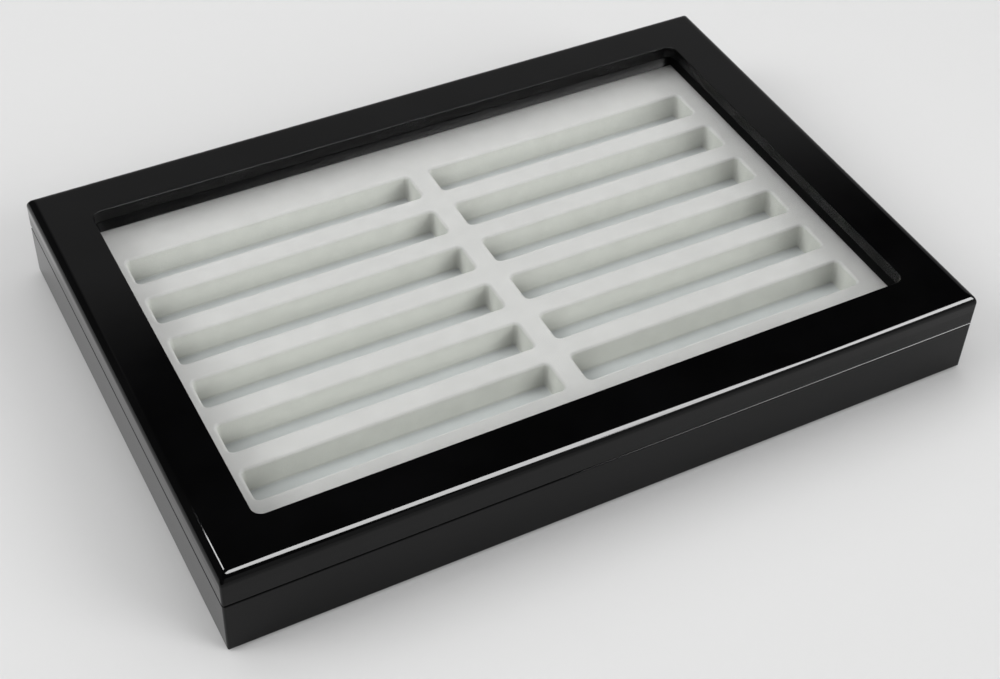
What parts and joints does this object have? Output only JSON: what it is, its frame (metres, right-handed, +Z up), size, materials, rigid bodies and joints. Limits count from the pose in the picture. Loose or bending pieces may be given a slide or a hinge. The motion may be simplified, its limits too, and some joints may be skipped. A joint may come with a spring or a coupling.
{
  "type": "pen display box",
  "caption": "Shallow lacquered wooden display box for pens, with a glazed hinged lid over a flocked tray of long slots in two columns.",
  "frame": {"origin": "middle of the footprint, on the surface that the box stands on", "axes": "+X to the right along the length of the slots, +Y to the hinged back, +Z up"},
  "size_m": [0.38, 0.261, 0.047],
  "materials": {
    "lacquer": "black high-gloss lacquer over board",
    "board": "bare fibreboard",
    "felt": "black pressed felt",
    "flock": "formed sheet with pale grey flock",
    "glass": "clear float glass",
    "nickel": "nickel plate",
    "steel": "zinc-plated steel"
  },
  "bodies": {
    "base": {"base_front_rail": "lacquer", "base_back_rail": "lacquer", "base_left_rail": "lacquer", "base_right_rail": "lacquer", "base_panel": "board", "base_felt": "felt", "pen_tray": "flock", "left_hinge_base_leaf": "nickel", "left_hinge_pin": "steel", "right_hinge_base_leaf": "nickel", "right_hinge_pin": "steel", "hinge_base_screws": "steel"},
    "lid": {"lid_top_frame": "lacquer", "lid_front_rail": "lacquer", "lid_back_rail": "lacquer", "lid_left_rail": "lacquer", "lid_right_rail": "lacquer", "window_pane": "glass", "glazing_bead_front": "lacquer", "glazing_bead_back": "lacquer", "glazing_bead_left": "lacquer", "glazing_bead_right": "lacquer", "left_hinge_lid_leaf": "nickel", "right_hinge_lid_leaf": "nickel", "hinge_lid_screws": "steel"}
  },
  "joints": [
    {"name": "lid_hinge", "type": "hinge", "parent": "base", "child": "lid", "pos_m": [0, 0.128, 0.03015], "axis": [-1, 0, 0], "range_deg": [0, 95]}
  ]
}
